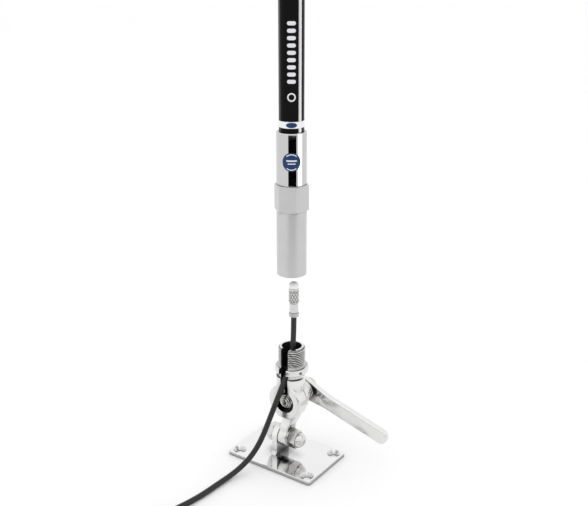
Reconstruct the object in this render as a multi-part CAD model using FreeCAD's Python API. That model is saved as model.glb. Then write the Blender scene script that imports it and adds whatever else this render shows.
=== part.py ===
import FreeCAD, Part
import math
import os

# Whip antenna lifted above its ratcheting deck mount, with the coaxial lead that runs through the stud.
# Millimetres, +Z up. The origin is the centre of the plate's underside; the plate's long side lies along X.

V = FreeCAD.Vector
UP = V(0, 0, 1)
DOWN = V(0, 0, -1)
ALONG_X = V(1, 0, 0)
ALONG_Y = V(0, 1, 0)

# Deck plate
plate_length = 96.0
plate_width = 63.0
plate_thick = 4.0
plate_corner = 2.5
hole_inset = 8.25
hole_radius = 3.3
countersink_radius = 6.6

# Ear on the plate and the lower pivot, which turns about X
pivot_z = 22.0
ear_left = -10.0
ear_right = -4.4
ear_half_width = 10.0
lug_left = -4.3
lug_right = 5.0
lug_radius = 9.6
pivot_bolt_radius = 4.97
pivot_hole_radius = 5.03
pivot_washer_thick = 1.5
pivot_washer_radius = 9.2
pivot_hex = 16.0
pivot_head_height = 6.2
dome_nut_hex_height = 8.0

# Upper pivot, which turns about Y, and the ratchet on it
stud_x = 6.4
ratchet_z = 66.0
head_disc_radius = 18.0
head_front = -12.8
head_back = -0.6
tooth_height = 1.2
tooth_count = 36
tooth_inner = 9.4
link_face = 2.2
link_disc_radius = 15.5
link_disc_back = 7.0
link_back = 13.8
link_back_radius = 12.0
recess_radius = 10.6
recess_depth = 7.0
clamp_bolt_radius = 3.97
clamp_hole_radius = 4.03
clamp_hex = 13.0

# Lever
lever_boss_radius = 9.4
lever_plate_front = 20.4
lever_plate_back = 26.2
lever_droop = 16.0
lever_reach = 95.5
lever_root_radius = 12.5
lever_tip_radius = 7.2

# Neck, flange and hollow threaded stud
neck_radius = 12.8
neck_bottom = 84.2
neck_top = 95.2
flange_radius = 15.8
flange_top = 101.0
stud_radius = 12.65
stud_top = 120.4
stud_bore = 9.4
slot_width = 8.0
grub_angle = -24.0

# Antenna, drawn lifted off its stud
collar_bottom = 193.0
hex_bottom = 253.0
hex_top = 277.0
ferrule_top = 323.5
ferrule_radius = 13.4
collar_thread_radius = 12.78
collar_thread_depth = 22.0
collar_bore = 11.2
hex_flats = 27.2
hex_turn = 20.0
shoulder_bottom = 268.0
spigot_radius = 9.55
spigot_bottom = 264.6
spigot_bore = 8.2
socket_floor = 281.0
pole_radius = 11.0
pole_inner = 9.2
pole_bottom = 281.1
pole_top = 688.0
cap_height = 7.0
cap_plug = 9.0
band_bottom = 327.6
band_top = 333.2
band_thick = 0.25
label_z = 299.0
label_radius = 8.2
label_thick = 0.15
label_direction = -55.0

# Coaxial lead: its diameter and its route; its top end stands a little off the stud's axis
cable_diameter = 5.2
crimp_z = 150.5
lead_x = stud_x + 1.6
lead_y = 1.1
coil_centre = V(8.0, -208.5, 0)
coil_mean_radius = 34.0
coil_turns_per_layer = 3.0
coil_turn_pitch = 5.25
coil_layers = 6
coil_layer_pitch = 5.2
tie_angles = (62.0, 228.0)
tie_width = 4.6
tie_thick = 0.9
tie_gap = 0.3

feed_route = [
    (1.2, -22.6, 62.0), (4.4, -19.4, 74.5), (6.2, -12.6, 87.0), (6.9, -4.6, 100.0),
    (7.7, -0.2, 116.0), (7.9, 0.9, 133.5), (lead_x, lead_y, crimp_z),
]
deck_route = [
    (1.2, -22.6, 62.0), (-2.0, -25.8, 49.5), (-5.0, -29.6, 37.0), (-8.0, -35.0, 25.4),
    (-11.8, -42.6, 14.8), (-16.2, -52.8, 7.2), (-19.6, -65.6, 3.2), (-21.2, -81.0, 2.6),
    (-21.8, -98.0, 2.6), (-24.2, -116.0, 2.6), (-28.4, -134.0, 2.6), (-31.8, -153.0, 2.6),
    (-33.4, -174.0, 2.6), (-33.8, -195.0, 2.6),
]
tail_route = [
    (8.0, -250.4, 28.6), (22.0, -251.1, 27.2), (36.0, -250.9, 21.0), (49.0, -249.2, 12.6),
    (61.0, -246.6, 6.8), (73.0, -243.2, 4.9), (84.0, -239.4, 4.9),
]

# Connector on each end of the lead, measured along its axis from the crimp face
crimp_length = 4.0
crimp_radius = 4.6
sleeve_radius = 4.1
sleeve_throat = 3.1
sleeve_shoulder = 13.5
sleeve_end = 16.0
plug_nut_start = 13.7
plug_nut_end = 28.0
plug_nut_radius = 4.8
plug_nut_bore = 3.2
dome_radius = 4.5
dome_start = 28.1
dome_end = 34.0
contact_radius = 0.65
contact_root_radius = 1.1
contact_end = 33.0

# Inside of the antenna
plug_bottom = 284.0
plug_height = 8.0
jack_bottom = 278.4
jack_radius = 4.0
jack_length = 17.0
jack_nut_flats = 11.0
board_bottom = 298.0
board_top = 362.0
board_half_width = 6.5
feed_bottom = 296.0
feed_length = 66.6
sleeve_bottom = 366.0
sleeve_length = 72.0
rod_bottom = 364.0
rod_length = 300.0
rod_radius = 1.2
spacer_heights = (452.0, 552.0, 640.0)
spacer_height = 12.0


def box(x0, x1, y0, y1, z0, z1):
    """A box between two corners."""
    return Part.makeBox(x1 - x0, y1 - y0, z1 - z0, V(x0, y0, z0))


def cylinder(radius, height, base, direction=UP):
    """A cylinder from its base point along a direction."""
    return Part.makeCylinder(radius, height, base, direction)


def place(shape, base, direction=UP, turn=0.0):
    """Turn a shape made along +Z about its own axis, then stand it on base along direction."""
    spin = FreeCAD.Placement(V(0, 0, 0), FreeCAD.Rotation(UP, turn))
    stand = FreeCAD.Placement(base, FreeCAD.Rotation(UP, direction))
    placed = shape.copy()
    placed.Placement = stand.multiply(spin)
    return placed


def rounded_wire(corners):
    """A closed wire in the XY plane through (x, y, round) corners, each round a tangent arc."""
    spots = []
    count = len(corners)
    for index, (x, y, radius) in enumerate(corners):
        here = V(x, y, 0)
        before = V(corners[index - 1][0], corners[index - 1][1], 0)
        after = V(corners[(index + 1) % count][0], corners[(index + 1) % count][1], 0)
        if radius <= 0:
            spots.append((here, None, here))
            continue
        back = (before - here).normalize()
        ahead = (after - here).normalize()
        half = back.getAngle(ahead) / 2
        middle_way = (back + ahead).normalize()
        enter = here + back * (radius / math.tan(half))
        leave = here + ahead * (radius / math.tan(half))
        spots.append((enter, here + middle_way * (radius / math.sin(half) - radius), leave))
    edges = []
    for index, (enter, middle, leave) in enumerate(spots):
        if middle is not None:
            edges.append(Part.Arc(enter, middle, leave).toShape())
        following = spots[(index + 1) % count][0]
        if leave.distanceToPoint(following) > 1e-5:
            edges.append(Part.LineSegment(leave, following).toShape())
    return Part.Wire(edges)


def turned(corners, base, direction=UP):
    """A solid of revolution from (radius, height, round) corners, standing on base along direction."""
    outline = rounded_wire(corners)
    outline.rotate(V(0, 0, 0), ALONG_X, 90)
    return place(Part.Face(outline).revolve(V(0, 0, 0), UP, 360), base, direction)


def ring(outer, inner, height, base, direction=UP, edge=0.0):
    """A plain ring or short tube with rounded outer edges."""
    corners = [(inner, 0, 0), (outer, 0, edge), (outer, height, edge), (inner, height, 0)]
    return turned(corners, base, direction)


def hexagon(flats, height, base, direction=UP, turn=0.0, edge=0.8):
    """A hexagonal prism whose corners are turned off at both ends."""
    corner_radius = flats / 2 / math.cos(math.radians(30))
    angles = [math.radians(60 * k) for k in range(7)]
    points = [V(corner_radius * math.cos(angle), corner_radius * math.sin(angle), 0) for angle in angles]
    prism = Part.Face(Part.makePolygon(points)).extrude(V(0, 0, height))
    trim = turned([(0, 0, 0), (corner_radius - edge * 1.6, 0, 0), (corner_radius + 0.1, edge, 0),
                   (corner_radius + 0.1, height - edge, 0), (corner_radius - edge * 1.6, height, 0),
                   (0, height, 0)], V(0, 0, 0))
    return place(prism.common(trim), base, direction, turn)


def section(x0, x1, y0, y1, z, corner):
    """A rounded rectangle lying flat at height z, for lofts."""
    wire = rounded_wire([(x0, y0, corner), (x1, y0, corner), (x1, y1, corner), (x0, y1, corner)])
    wire.translate(V(0, 0, z))
    return wire


def tooth_ring(outer, direction, base):
    """Radial ratchet teeth on a thin ring; the teeth point along direction."""
    step = math.radians(360.0 / tooth_count)
    body = ring(outer, tooth_inner, 0.4, V(0, 0, -0.4))
    for index in range(tooth_count):
        left = (index - 0.5) * step
        right = (index + 0.5) * step
        middle = index * step
        inner = tooth_inner + 0.3
        outside = outer - 0.3
        corners = [V(r * math.cos(a), r * math.sin(a), -0.2) for r, a in
                   ((inner, left), (outside, left), (outside, right), (inner, right))]
        top_in = V(inner * math.cos(middle), inner * math.sin(middle), tooth_height * inner / outside)
        top_out = V(outside * math.cos(middle), outside * math.sin(middle), tooth_height)
        a, b, c, d = corners
        sides = [[a, b, c, d], [a, b, top_out, top_in], [d, c, top_out, top_in],
                 [b, c, top_out], [a, d, top_in]]
        faces = []
        for side in sides:
            for third in range(2, len(side)):
                faces.append(Part.Face(Part.makePolygon([side[0], side[third - 1], side[third], side[0]])))
        body = body.fuse(Part.makeSolid(Part.makeShell(faces)))
    return place(body.removeSplitter(), base, direction)


def route_wire(points):
    """Straight runs joined by tangent arcs, each as large as its two runs allow; also the radii."""
    spots = [V(*point) for point in points]
    edges = []
    radii = []
    start = spots[0]
    for before, here, after in zip(spots, spots[1:], spots[2:]):
        back = before - here
        ahead = after - here
        shorter = min(back.Length, ahead.Length)
        half_turn = (math.pi - back.getAngle(ahead)) / 2
        radius = 0.45 * shorter / math.tan(half_turn)
        back.normalize()
        ahead.normalize()
        enter = here + back * (0.45 * shorter)
        leave = here + ahead * (0.45 * shorter)
        middle_way = (back + ahead).normalize()
        middle = here + middle_way * (radius / math.cos(half_turn) - radius)
        edges.append(Part.LineSegment(start, enter).toShape())
        edges.append(Part.Arc(enter, middle, leave).toShape())
        radii.append(radius)
        start = leave
    edges.append(Part.LineSegment(start, spots[-1]).toShape())
    return Part.Wire(edges), radii


def cable_tube(name, points):
    """A round tube along a route, with its radii and its volume against section times length printed."""
    wire, radii = route_wire(points)
    first = V(*points[0])
    heading = V(*points[1]) - first
    profile = Part.Wire(Part.makeCircle(cable_diameter / 2, first, heading))
    tube = wire.makePipeShell([profile], True, False)
    expected = math.pi * cable_diameter ** 2 / 4 * wire.Length
    print(name, "radii", [round(radius, 1) for radius in radii], "length", round(wire.Length, 1),
          "volume ratio", round(tube.Volume / expected, 4))
    return tube


def deck_plate():
    """Polished plate with four countersunk holes."""
    half_x = plate_length / 2
    half_y = plate_width / 2
    outline = section(-half_x, half_x, -half_y, half_y, 0, plate_corner)
    plate = Part.Face(outline).extrude(V(0, 0, plate_thick))
    top_edges = [edge for edge in plate.Edges if edge.BoundBox.ZMin > plate_thick - 0.01]
    plate = plate.makeFillet(0.7, top_edges)
    sink = countersink_radius - hole_radius
    for x in (-half_x + hole_inset, half_x - hole_inset):
        for y in (-half_y + hole_inset, half_y - hole_inset):
            plate = plate.cut(cylinder(hole_radius, plate_thick + 2, V(x, y, -1)))
            sink_base = V(x, y, plate_thick - sink)
            plate = plate.cut(Part.makeCone(hole_radius, countersink_radius + 0.1, sink + 0.1, sink_base))
    return plate


def plate_ear():
    """Upright ear that carries the lower pivot."""
    half = ear_half_width
    foot = plate_thick
    round_top = half - 0.001
    corners = [(-half - 2.5, foot, 0), (half + 2.5, foot, 0), (half, foot + 2.6, 2.2),
               (half, pivot_z + half, round_top), (-half, pivot_z + half, round_top),
               (-half, foot + 2.6, 2.2)]
    outline = rounded_wire(corners)
    outline.rotate(V(0, 0, 0), ALONG_X, 90)
    outline.rotate(V(0, 0, 0), UP, 90)
    outline.translate(V(ear_left, 0, 0))
    ear = Part.Face(outline).extrude(V(ear_right - ear_left, 0, 0))
    return ear.cut(cylinder(pivot_hole_radius, 20, V(ear_left - 2, 0, pivot_z), ALONG_X))


def pivot_bolt():
    """Lower pivot bolt: hexagon head on the far side of the ear, shank through ear and link."""
    head_x = ear_left - pivot_washer_thick
    head = hexagon(pivot_hex, pivot_head_height, V(head_x - pivot_head_height, 0, pivot_z), ALONG_X, 30)
    shank_length = lug_right + 0.1 + pivot_washer_thick + dome_nut_hex_height - head_x
    return head.fuse(cylinder(pivot_bolt_radius, shank_length, V(head_x, 0, pivot_z), ALONG_X))


def pivot_washers():
    """One washer under the bolt head and one under the dome nut."""
    left = ring(pivot_washer_radius, 5.2, pivot_washer_thick, V(ear_left - pivot_washer_thick, 0, pivot_z),
                ALONG_X, 0.3)
    right = ring(pivot_washer_radius, 5.2, pivot_washer_thick, V(lug_right + 0.1, 0, pivot_z), ALONG_X, 0.3)
    return Part.Compound([left, right])


def dome_nut(flats, hex_height, dome_radius, dome_height, bore, depth, base, direction):
    """Acorn nut with a blind hole."""
    nut = hexagon(flats, hex_height, V(0, 0, 0), UP, 30)
    dome = turned([(0, hex_height - 0.5, 0), (dome_radius, hex_height - 0.5, 0),
                   (dome_radius, hex_height + dome_height, dome_height * 0.95),
                   (0, hex_height + dome_height, 0)], V(0, 0, 0))
    nut = nut.fuse(dome).cut(cylinder(bore, depth, V(0, 0, -0.01)))
    return place(nut, base, direction)


def swivel_link():
    """Cast link: lug on the lower pivot, neck, and toothed hub on the upper pivot."""
    lug = turned([(0, 0, 0), (lug_radius, 0, 0.8), (lug_radius, lug_right - lug_left, 0.8),
                  (0, lug_right - lug_left, 0)], V(lug_left, 0, pivot_z), ALONG_X)
    lower = Part.makeLoft([section(lug_left, lug_right, -7.5, 7.5, pivot_z, 0.8),
                           section(lug_left, lug_right, -5.0, 9.4, pivot_z + 11, 0.8)], True, True)
    upper = Part.makeLoft([section(lug_left, lug_right, -5.0, 9.4, pivot_z + 10.9, 0.8),
                           section(lug_left, 10.5, -1.0, 12.4, pivot_z + 22, 2.5),
                           section(lug_left - 1.5, 16.0, 2.6, 13.6, ratchet_z - 9, 3.0)], True, False)
    hub = turned([(0, 0, 0), (link_disc_radius, 0, 0.8), (link_disc_radius, link_disc_back - link_face, 1.2),
                  (link_back_radius, link_disc_back - link_face, 0.9),
                  (link_back_radius, link_back - link_face, 1.0), (0, link_back - link_face, 0)],
                 V(stud_x, link_face, ratchet_z), ALONG_Y)
    body = lug.fuse([lower, upper, hub])
    body = body.cut(cylinder(pivot_hole_radius, 20, V(lug_left - 2, 0, pivot_z), ALONG_X))
    body = body.cut(cylinder(clamp_hole_radius, 30, V(stud_x, -2, ratchet_z), ALONG_Y))
    body = body.cut(cylinder(8.4, 1.4, V(stud_x, link_face - 0.1, ratchet_z), ALONG_Y))
    teeth = tooth_ring(link_disc_radius - 0.4, V(0, -1, 0), V(stud_x, link_face, ratchet_z))
    return body.fuse(teeth)


def spring_washers():
    """Two cone washers, back to back round the clamp bolt, that push the ratchet faces apart."""
    cone = [(4.3, 0, 0), (5.1, 0, 0), (8.1, 1.0, 0), (8.1, 1.8, 0), (7.3, 1.8, 0), (4.3, 0.8, 0)]
    front = turned(cone, V(stud_x, head_back + 0.05, ratchet_z), ALONG_Y)
    back = turned(cone, V(stud_x, head_back + 3.85, ratchet_z), V(0, -1, 0))
    return Part.Compound([front, back])


def stud_head():
    """Cast head: ratchet disc with a round recess, and the neck that carries the hollow stud."""
    thick = head_back - head_front
    disc = turned([(0, 0, 0), (head_disc_radius, 0, 1.8), (head_disc_radius, thick, 0.8), (0, thick, 0)],
                  V(stud_x, head_front, ratchet_z), ALONG_Y)
    web = box(stud_x - 13.6, stud_x + 13.6, head_front, head_back, ratchet_z + 4, neck_bottom + 6)
    web = web.common(cylinder(14.6, 40, V(stud_x, 0, ratchet_z)))
    neck = cylinder(neck_radius, neck_top - neck_bottom, V(stud_x, 0, neck_bottom))
    body = disc.fuse([web, neck])
    body = body.cut(cylinder(recess_radius, recess_depth + 1, V(stud_x, head_front - 1, ratchet_z), ALONG_Y))
    body = body.cut(cylinder(clamp_hole_radius, 30, V(stud_x, head_front, ratchet_z), ALONG_Y))
    body = body.cut(cylinder(stud_bore, 20, V(stud_x, 0, neck_bottom + 2.4)))
    half = slot_width / 2
    body = body.cut(box(stud_x - half, stud_x + half, head_front - 4, -2.6, ratchet_z + 4, neck_top + 1))
    teeth = tooth_ring(link_disc_radius + 0.9, ALONG_Y, V(stud_x, head_back, ratchet_z))
    return body.fuse(teeth)


def threaded_stud():
    """Hollow stud on a flange, split by the slot that lets the cable out sideways."""
    height = stud_top - neck_top
    flange_height = flange_top - neck_top
    body = turned([(stud_bore, 0, 0), (flange_radius, 0, 0.9), (flange_radius, flange_height, 0.9),
                   (stud_radius, flange_height, 0), (stud_radius, height, 1.0), (stud_bore, height, 0.4)],
                  V(stud_x, 0, neck_top))
    half = slot_width / 2
    body = body.cut(box(stud_x - half, stud_x + half, -flange_radius - 1, 0, neck_top - 1, stud_top + 1))
    return body.cut(cylinder(1.65, 9, *grub_line(7.5)))


def grub_line(distance):
    """Start point and direction of the flange's set-screw hole."""
    angle = math.radians(grub_angle)
    outward = V(math.cos(angle), math.sin(angle), 0)
    return V(stud_x, 0, (neck_top + flange_top) / 2) + outward * distance, outward


def set_screw():
    """Grub screw with a hexagon socket, just below the flange's rim."""
    start, outward = grub_line(9.2)
    screw = cylinder(1.6, 6.0, start, outward)
    return screw.cut(hexagon(1.6, 2.4, start + outward * 4.2, outward, 0, 0.01))


def clamp_bolt():
    """Upper pivot bolt: head behind the lever, shank through lever, link and head."""
    head_y = lever_plate_back + 1.6
    head = hexagon(clamp_hex, 5.3, V(stud_x, head_y, ratchet_z), ALONG_Y, 12)
    tip_y = head_front - 0.2
    return head.fuse(turned([(0, 0, 0), (clamp_bolt_radius, 0, 0.9), (clamp_bolt_radius, head_y - tip_y, 0),
                             (0, head_y - tip_y, 0)], V(stud_x, tip_y, ratchet_z), ALONG_Y))


def clamp_nut():
    """Locking nut in the recess of the head."""
    floor_y = head_front + recess_depth
    nut = hexagon(clamp_hex, 4.6, V(0, 0, 0), UP, 12)
    collar = turned([(0, 4.4, 0), (5.7, 4.4, 0), (5.7, 6.0, 0.8), (0, 6.0, 0)], V(0, 0, 0))
    nut = nut.fuse(collar).cut(cylinder(clamp_hole_radius, 10, V(0, 0, -1)))
    return place(nut, V(stud_x, floor_y, ratchet_z), V(0, -1, 0))


def clamp_lever():
    """Flat lever with a round boss on its front that bears on the link."""
    thick = lever_plate_back - lever_plate_front
    flare = lever_root_radius + 13.0
    root_round = lever_root_radius - 2.0
    tip_round = lever_tip_radius - 0.1
    outline = [(-lever_root_radius, -lever_root_radius, root_round), (flare, -lever_tip_radius, 16),
               (lever_reach, -lever_tip_radius, tip_round), (lever_reach, lever_tip_radius, tip_round),
               (flare, lever_tip_radius, 16), (-lever_root_radius, lever_root_radius, root_round)]
    plate = Part.Face(rounded_wire(outline)).extrude(V(0, 0, thick))
    plate.rotate(V(0, 0, 0), ALONG_X, 90)
    plate.rotate(V(0, 0, 0), ALONG_Y, lever_droop)
    plate.translate(V(stud_x, lever_plate_back, ratchet_z))
    boss_front = link_back + 0.15
    boss_length = lever_plate_front + 1 - boss_front
    boss = cylinder(lever_boss_radius, boss_length, V(stud_x, boss_front, ratchet_z), ALONG_Y)
    return plate.fuse(boss).cut(cylinder(clamp_hole_radius, 30, V(stud_x, 5, ratchet_z), ALONG_Y))


def lever_washer():
    """Washer between the lever and the clamp bolt's head."""
    return ring(8.0, 4.2, 1.4, V(stud_x, lever_plate_back + 0.1, ratchet_z), ALONG_Y, 0.3)


def coupling_collar():
    """Threaded skirt and hexagon that screws on to the stud and turns freely on the ferrule."""
    skirt = turned([(collar_thread_radius, 0, 0), (ferrule_radius, 0, 0.5), (ferrule_radius, 62, 0),
                    (spigot_radius + 0.07, 62, 0), (spigot_radius + 0.07, 61.5, 0), (collar_bore, 61.5, 0),
                    (collar_bore, collar_thread_depth, 0), (collar_thread_radius, collar_thread_depth, 0)],
                   V(stud_x, 0, collar_bottom))
    nut = hexagon(hex_flats, hex_top - hex_bottom, V(stud_x, 0, hex_bottom), UP, hex_turn, 1.3)
    nut = nut.cut(cylinder(collar_bore, shoulder_bottom - hex_bottom, V(stud_x, 0, hex_bottom)))
    nut = nut.cut(cylinder(spigot_radius + 0.07, 30, V(stud_x, 0, shoulder_bottom - 1)))
    skirt = skirt.cut(cylinder(collar_bore, 5, V(stud_x, 0, hex_bottom + 2)))
    skirt = skirt.cut(cylinder(collar_bore, 5, V(stud_x, 0, hex_bottom)))
    return skirt.fuse(nut).removeSplitter()


def retaining_ring():
    """Ring on the spigot that holds the collar on."""
    return ring(10.8, 8.9, 1.2, V(stud_x, 0, shoulder_bottom - 1.5), UP, 0.15)


def ferrule():
    """Chrome ferrule: socket for the pole above, spigot for the collar below."""
    top = ferrule_top - spigot_bottom
    step = hex_top + 0.1 - spigot_bottom
    groove = shoulder_bottom - 1.5 - spigot_bottom
    body = turned([(spigot_bore, 0, 0), (spigot_radius, 0, 0.3), (spigot_radius, step, 0),
                   (ferrule_radius, step, 0.5), (ferrule_radius, top, 1.1), (pole_radius + 0.05, top, 0),
                   (pole_radius + 0.05, socket_floor - spigot_bottom, 0),
                   (spigot_bore, socket_floor - spigot_bottom, 0)], V(stud_x, 0, spigot_bottom))
    return body.cut(ring(12, 8.9, 1.2, V(stud_x, 0, spigot_bottom + groove)))


def label_disc():
    """Round sticker that follows the ferrule's curve."""
    shell = ring(ferrule_radius + label_thick, ferrule_radius, 30, V(stud_x, 0, label_z - 15))
    angle = math.radians(label_direction)
    punch = cylinder(label_radius, 30, V(stud_x, 0, label_z), V(math.cos(angle), math.sin(angle), 0))
    return shell.common(punch)


def pole_cap():
    """Rounded cap with a plug that sits in the pole's upper end."""
    plug = pole_inner - 0.05
    top = cap_plug + cap_height
    return turned([(0, 0, 0), (plug, 0, 0.6), (plug, cap_plug, 0), (pole_radius, cap_plug, 0),
                   (pole_radius, top, cap_height - 0.5), (0, top, 0)], V(stud_x, 0, pole_top - cap_plug))


def end_connector(base, direction):
    """Crimped coaxial connector: crimp ring, sleeve, knurled nut, white insulator and centre contact."""
    origin = V(0, 0, 0)
    crimp = ring(crimp_radius, cable_diameter / 2, crimp_length, origin, UP, 0.5)
    sleeve = turned([(1.2, crimp_length, 0), (sleeve_radius, crimp_length, 0.4),
                     (sleeve_radius, sleeve_shoulder, 0.3), (sleeve_throat, sleeve_shoulder, 0),
                     (sleeve_throat, sleeve_end, 0.2), (1.2, sleeve_end, 0)], origin)
    nut = turned([(plug_nut_bore, plug_nut_start, 0), (plug_nut_radius, plug_nut_start, 0.5),
                  (plug_nut_radius, plug_nut_end, 0.5), (plug_nut_bore, plug_nut_end, 0)], origin)
    insulator = turned([(0.7, sleeve_end + 0.1, 0), (sleeve_throat, sleeve_end + 0.1, 0),
                        (sleeve_throat, dome_start, 0), (dome_radius, dome_start, 0),
                        (dome_radius, dome_end, 3.6), (0.7, dome_end, 0)], origin)
    contact = turned([(0, crimp_length + 0.1, 0), (contact_root_radius, crimp_length + 0.1, 0),
                      (contact_root_radius, sleeve_end - 0.1, 0), (contact_radius, sleeve_end - 0.1, 0),
                      (contact_radius, contact_end, 0.3), (0, contact_end, 0)], origin)
    pieces = {"crimp_ring": crimp, "sleeve": sleeve, "nut": nut, "insulator": insulator, "contact": contact}
    return {name: place(piece, base, direction) for name, piece in pieces.items()}


def coil_size():
    """Half the width and the height of the coil's section."""
    half = (coil_turns_per_layer * coil_turn_pitch + cable_diameter) / 2
    return half, (coil_layers - 1) * coil_layer_pitch + cable_diameter


def cable_coil(lead, tail):
    """The put-away length as one closed ring, cut back where the lead and the tail meet it."""
    half, top = coil_size()
    corners = [(coil_mean_radius - half, 0, 2.4), (coil_mean_radius + half, 0, 2.4),
               (coil_mean_radius + half, top, 2.4), (coil_mean_radius - half, top, 2.4)]
    return turned(corners, coil_centre).cut(lead).cut(tail)


def coil_ties():
    """Two straps round the coil's section, on opposite sides."""
    half, top = coil_size()
    inner_half = half + tie_gap
    outer_half = inner_half + tie_thick
    straps = []
    for angle in tie_angles:
        outer = section(-outer_half, outer_half, 0.0, top + tie_gap + tie_thick, 0, 2.6)
        inner = section(-inner_half, inner_half, -4.0, top + tie_gap, 0, 2.2)
        hollow = Part.Face(inner).extrude(V(0, 0, tie_width))
        strap = Part.Face(outer).extrude(V(0, 0, tie_width)).cut(hollow)
        strap.translate(V(coil_mean_radius, 0, -tie_width / 2))
        strap.rotate(V(0, 0, 0), ALONG_X, 90)
        strap.rotate(V(0, 0, 0), UP, angle)
        strap.translate(coil_centre)
        straps.append(strap)
    return Part.Compound(straps)


def antenna_inside():
    """What the pole holds: end plug, jack, matching board, feed, sleeve, rod and foam spacers."""
    axis = V(stud_x, 0, 0)
    jack_bore = jack_radius + 0.05
    plug = ring(pole_inner - 0.05, jack_bore, plug_height, axis + UP * plug_bottom)
    jack = turned([(0.8, 0, 0), (jack_radius, 0, 0.4), (jack_radius, jack_length, 0.3),
                   (0.8, jack_length, 0)], axis + UP * jack_bottom)
    nut = hexagon(jack_nut_flats, 2.6, axis + UP * (plug_bottom + plug_height + 0.05), UP, 0, 0.4)
    nut = nut.cut(cylinder(jack_bore, 10, axis + UP * (plug_bottom + plug_height - 2)))
    board = box(stud_x - board_half_width, stud_x + board_half_width, -0.8, 0.8, board_bottom, board_top)
    feed = cylinder(1.2, feed_length, V(stud_x, 2.1, feed_bottom))
    sleeve = ring(6.6, 6.0, sleeve_length, axis + UP * sleeve_bottom, UP, 0.1)
    rod = cylinder(rod_radius, rod_length, axis + UP * rod_bottom)
    spacers = Part.Compound([ring(pole_inner - 0.1, rod_radius + 0.05, spacer_height, axis + UP * z, UP, 0.8)
                             for z in spacer_heights])
    return {"pole_plug": plug, "antenna_jack": jack, "jack_nut": nut, "matching_board": board,
            "inner_feed": feed, "radiator_sleeve": sleeve, "radiator_rod": rod, "foam_spacers": spacers}


def build():
    """Every sub-part by name."""
    axis = V(stud_x, 0, 0)
    feed = cable_tube("feed_cable", feed_route)
    lead = cable_tube("deck_cable", deck_route)
    tail = cable_tube("cable_tail", tail_route)
    parts = {
        "deck_plate": deck_plate(),
        "plate_ear": plate_ear(),
        "pivot_bolt": pivot_bolt(),
        "pivot_washers": pivot_washers(),
        "pivot_dome_nut": dome_nut(pivot_hex, dome_nut_hex_height, 7.4, 6.4, 5.0, dome_nut_hex_height,
                                   V(lug_right + 0.1 + pivot_washer_thick, 0, pivot_z), ALONG_X),
        "swivel_link": swivel_link(),
        "spring_washers": spring_washers(),
        "stud_head": stud_head(),
        "threaded_stud": threaded_stud(),
        "stud_set_screw": set_screw(),
        "clamp_bolt": clamp_bolt(),
        "clamp_nut": clamp_nut(),
        "clamp_lever": clamp_lever(),
        "lever_washer": lever_washer(),
        "coupling_collar": coupling_collar(),
        "retaining_ring": retaining_ring(),
        "ferrule": ferrule(),
        "ferrule_label": label_disc(),
        "pole": ring(pole_radius, pole_inner, pole_top - pole_bottom, axis + UP * pole_bottom),
        "pole_band": ring(pole_radius + band_thick, pole_radius, band_top - band_bottom,
                          axis + UP * band_bottom),
        "pole_cap": pole_cap(),
        "feed_cable": feed,
        "deck_cable": lead,
        "cable_coil": cable_coil(lead, tail),
        "coil_ties": coil_ties(),
        "cable_tail": tail,
    }
    parts.update(antenna_inside())
    for name, piece in end_connector(V(lead_x, lead_y, crimp_z), UP).items():
        parts["top_" + name] = piece
    tail_end = V(*tail_route[-1])
    tail_heading = tail_end - V(*tail_route[-2])
    for name, piece in end_connector(tail_end, tail_heading).items():
        parts["end_" + name] = piece
    return parts


def main():
    """Write each sub-part to its own STEP file."""
    os.makedirs("parts", exist_ok=True)
    for name, shape in build().items():
        shape.exportStep("parts/" + name + ".step")
        print(name, "solids", len(shape.Solids), "valid", shape.isValid(), "volume", round(shape.Volume, 1))


main()
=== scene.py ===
"""Studio scene of a whip antenna lifted above its ratcheting deck mount, with its coaxial lead."""

import logging
import math
import random
from collections.abc import Callable, Sequence
from dataclasses import dataclass, field
from enum import Enum

import bmesh
import bpy
from mathutils import Matrix, Vector


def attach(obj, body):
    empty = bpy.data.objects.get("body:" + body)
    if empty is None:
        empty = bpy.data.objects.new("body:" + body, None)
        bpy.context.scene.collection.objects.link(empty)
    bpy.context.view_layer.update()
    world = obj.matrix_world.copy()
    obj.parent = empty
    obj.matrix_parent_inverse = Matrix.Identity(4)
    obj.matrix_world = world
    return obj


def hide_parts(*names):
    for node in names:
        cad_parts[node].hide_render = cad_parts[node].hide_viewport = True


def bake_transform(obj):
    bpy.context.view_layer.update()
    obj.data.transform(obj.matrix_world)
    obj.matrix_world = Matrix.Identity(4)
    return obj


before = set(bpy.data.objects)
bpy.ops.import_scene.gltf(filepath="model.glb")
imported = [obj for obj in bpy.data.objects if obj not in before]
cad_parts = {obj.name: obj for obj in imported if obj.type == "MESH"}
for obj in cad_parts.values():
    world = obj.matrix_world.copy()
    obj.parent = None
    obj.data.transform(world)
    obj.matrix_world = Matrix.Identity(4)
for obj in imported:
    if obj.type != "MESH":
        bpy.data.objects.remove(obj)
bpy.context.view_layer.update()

LOG = logging.getLogger("antenna")
MM = 0.001
Triple = tuple[float, float, float]
Faces = list[tuple[int, ...]]
Shape = tuple[list[Vector], Faces]
Piece = bpy.types.Object
Socket = bpy.types.NodeSocket
Reach = Callable[[float], float]

STUD_X = 6.4
COIL_CENTRE = (8.0, -208.5, 0.0)
UP = Vector((0.0, 0.0, 1.0))
ALONG_Y = Vector((0.0, 1.0, 0.0))
FRONT = math.radians(-55.0)


def mm(x: float, y: float, z: float) -> Vector:
    """A point given in millimetres, in metres."""
    return Vector((x, y, z)) * MM


class Grain(Enum):
    """How a surface's fine relief runs."""

    POLISHED = (1.0, 1.0, 1.0)
    RINGS_Z = (1.0, 1.0, 30.0)
    BRUSHED_X = (0.06, 1.0, 1.0)
    EVEN = (1.01, 1.0, 0.99)


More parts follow.
